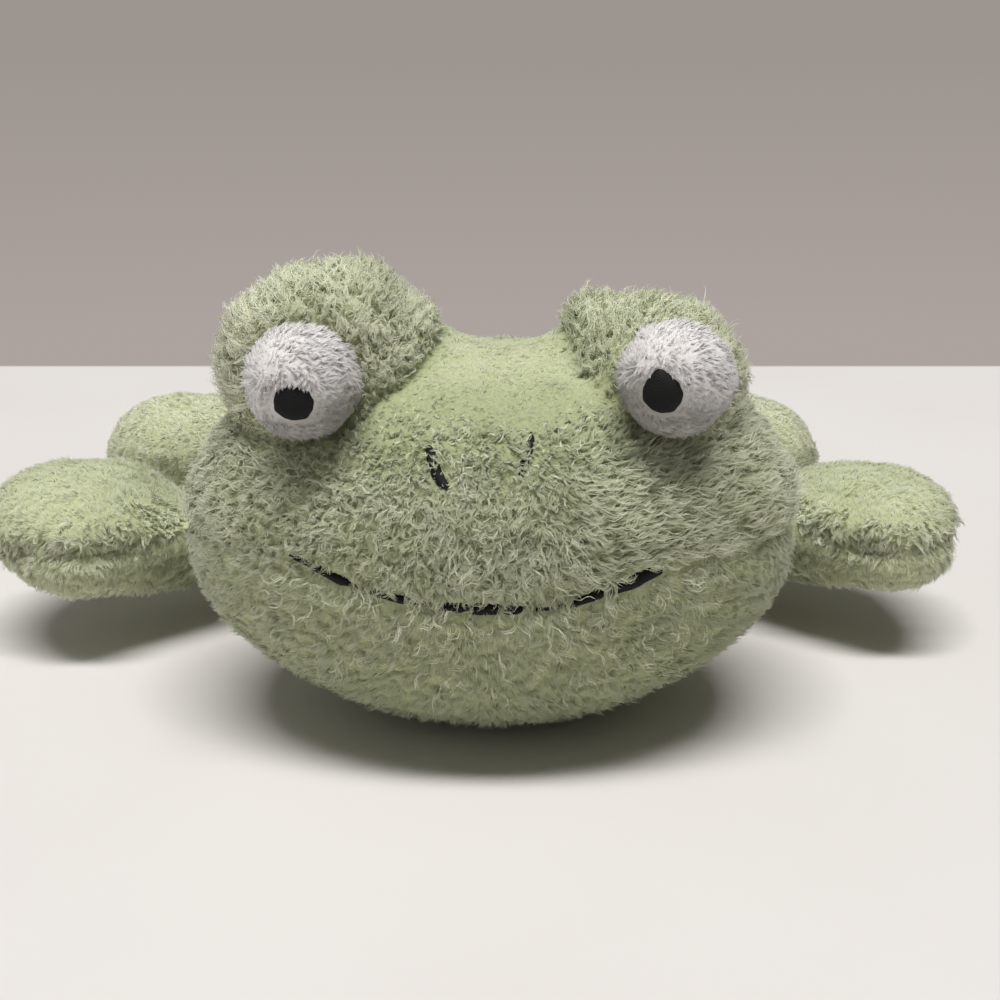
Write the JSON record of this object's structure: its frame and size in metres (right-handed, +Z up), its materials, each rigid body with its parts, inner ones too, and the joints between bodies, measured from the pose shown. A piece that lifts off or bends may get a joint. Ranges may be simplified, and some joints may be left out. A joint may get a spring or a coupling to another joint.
{
  "type": "plush frog",
  "caption": "Soft plush frog lying on its belly with raised eye mounds, stitched mouth and hinged stuffed arms, legs and head.",
  "frame": {"origin": "middle of the belly's flat, on the surface that the frog lies on", "axes": "+Z up from the table, +Y from the face to the tail end, +X to the right of someone who looks the frog in the face"},
  "size_m": [0.237, 0.2064, 0.0975],
  "materials": {
    "green_plush": "pale green curly plush pile, matt",
    "white_plush": "short dense white plush pile, matt",
    "satin_thread": "black satin stitch, slight sheen",
    "stuffing": "white polyester fibre stuffing"
  },
  "bodies": {
    "torso": {"torso_back_panel": "green_plush", "torso_belly_panel": "green_plush", "torso_filling": "stuffing"},
    "head": {"head_top_panel": "green_plush", "head_chin_panel": "green_plush", "head_filling": "stuffing", "eye_hood_left": "green_plush", "hood_filling_left": "stuffing", "eyeball_left": "white_plush", "eyeball_filling_left": "stuffing", "pupil_left": "satin_thread", "nostril_left": "satin_thread", "eye_hood_right": "green_plush", "hood_filling_right": "stuffing", "eyeball_right": "white_plush", "eyeball_filling_right": "stuffing", "pupil_right": "satin_thread", "nostril_right": "satin_thread", "mouth_embroidery": "satin_thread"},
    "arm_left": {"arm_left_top_panel": "green_plush", "arm_left_bottom_panel": "green_plush", "arm_left_filling": "stuffing"},
    "arm_right": {"arm_right_top_panel": "green_plush", "arm_right_bottom_panel": "green_plush", "arm_right_filling": "stuffing"},
    "leg_left": {"leg_left_top_panel": "green_plush", "leg_left_bottom_panel": "green_plush", "leg_left_filling": "stuffing"},
    "leg_right": {"leg_right_top_panel": "green_plush", "leg_right_bottom_panel": "green_plush", "leg_right_filling": "stuffing"}
  },
  "joints": [
    {"name": "neck_nod", "type": "hinge", "parent": "torso", "child": "head", "pos_m": [0, -0.043, 0.031], "axis": [-1, 0, 0], "range_deg": [0, 20], "stiffness_Nm_per_rad": 0.25},
    {"name": "shoulder_left", "type": "hinge", "parent": "torso", "child": "arm_left", "pos_m": [-0.04193, -0.03936, 0.031], "axis": [-0.4138, 0.9104, 0], "range_deg": [-8, 50], "stiffness_Nm_per_rad": 0.08},
    {"name": "shoulder_right", "type": "hinge", "parent": "torso", "child": "arm_right", "pos_m": [0.04193, -0.03936, 0.031], "axis": [-0.4138, -0.9104, 0], "range_deg": [-8, 50], "stiffness_Nm_per_rad": 0.08},
    {"name": "hip_left", "type": "hinge", "parent": "torso", "child": "leg_left", "pos_m": [-0.04877, 0.01231, 0.031], "axis": [0.0944, 0.9955, 0], "range_deg": [0, 45], "stiffness_Nm_per_rad": 0.12},
    {"name": "hip_right", "type": "hinge", "parent": "torso", "child": "leg_right", "pos_m": [0.04877, 0.01231, 0.031], "axis": [0.0944, -0.9955, 0], "range_deg": [0, 45], "stiffness_Nm_per_rad": 0.12}
  ]
}
